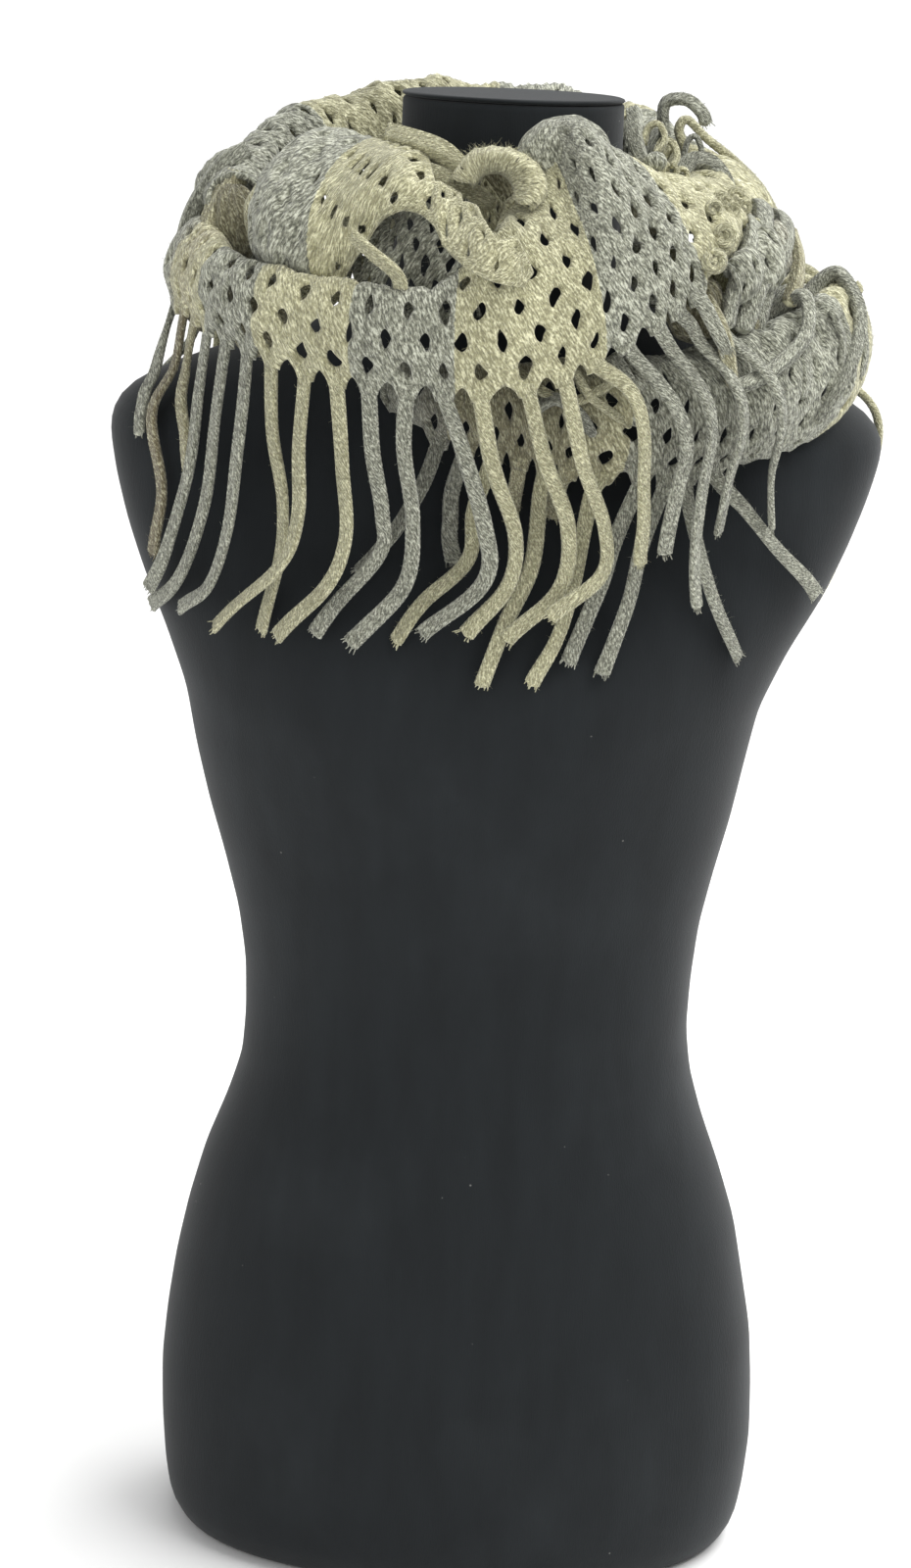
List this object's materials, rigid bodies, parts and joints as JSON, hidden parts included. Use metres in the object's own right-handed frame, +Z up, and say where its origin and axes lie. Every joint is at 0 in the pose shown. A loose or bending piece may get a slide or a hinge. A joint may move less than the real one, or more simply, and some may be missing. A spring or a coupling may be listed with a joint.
{
  "type": "infinity scarf on dress form",
  "caption": "Fringed openwork knit infinity scarf, wound in loose turns round the neck of a limbless dress form that stands on its flat base.",
  "frame": {"origin": "middle of the dress form's flat base, on the axis of its neck", "axes": "+Z up, the form's front towards -Y, +X to the right as it is seen from the front"},
  "size_m": [0.3998, 0.3064, 0.7811],
  "materials": {
    "black_jersey": "matt stretch jersey over padding",
    "beige_knit": "soft brushed knit",
    "grey_knit": "soft marled knit"
  },
  "bodies": {
    "root": {"form_body": "black_jersey", "neck_cap": "black_jersey", "inner_front": "beige_knit", "shoulder_right": "grey_knit", "wrap_back": "beige_knit", "wrap_left": "grey_knit", "sash_front": "beige_knit", "sash_right": "grey_knit", "collar_back": "beige_knit", "collar_left": "grey_knit", "inner_rise": "grey_knit", "puff_left": "grey_knit", "rolls_right": "grey_knit", "hood_fold": "beige_knit", "hood_lining": "grey_knit", "fringe_front": "beige_knit", "fringe_inner": "grey_knit", "fringe_shoulder": "grey_knit", "fringe_shoulder_back": "grey_knit", "fringe_left": "grey_knit", "fringe_back": "beige_knit", "fringe_loose": "beige_knit", "fringe_top": "grey_knit", "fringe_arches": "grey_knit"}
  },
  "joints": []
}
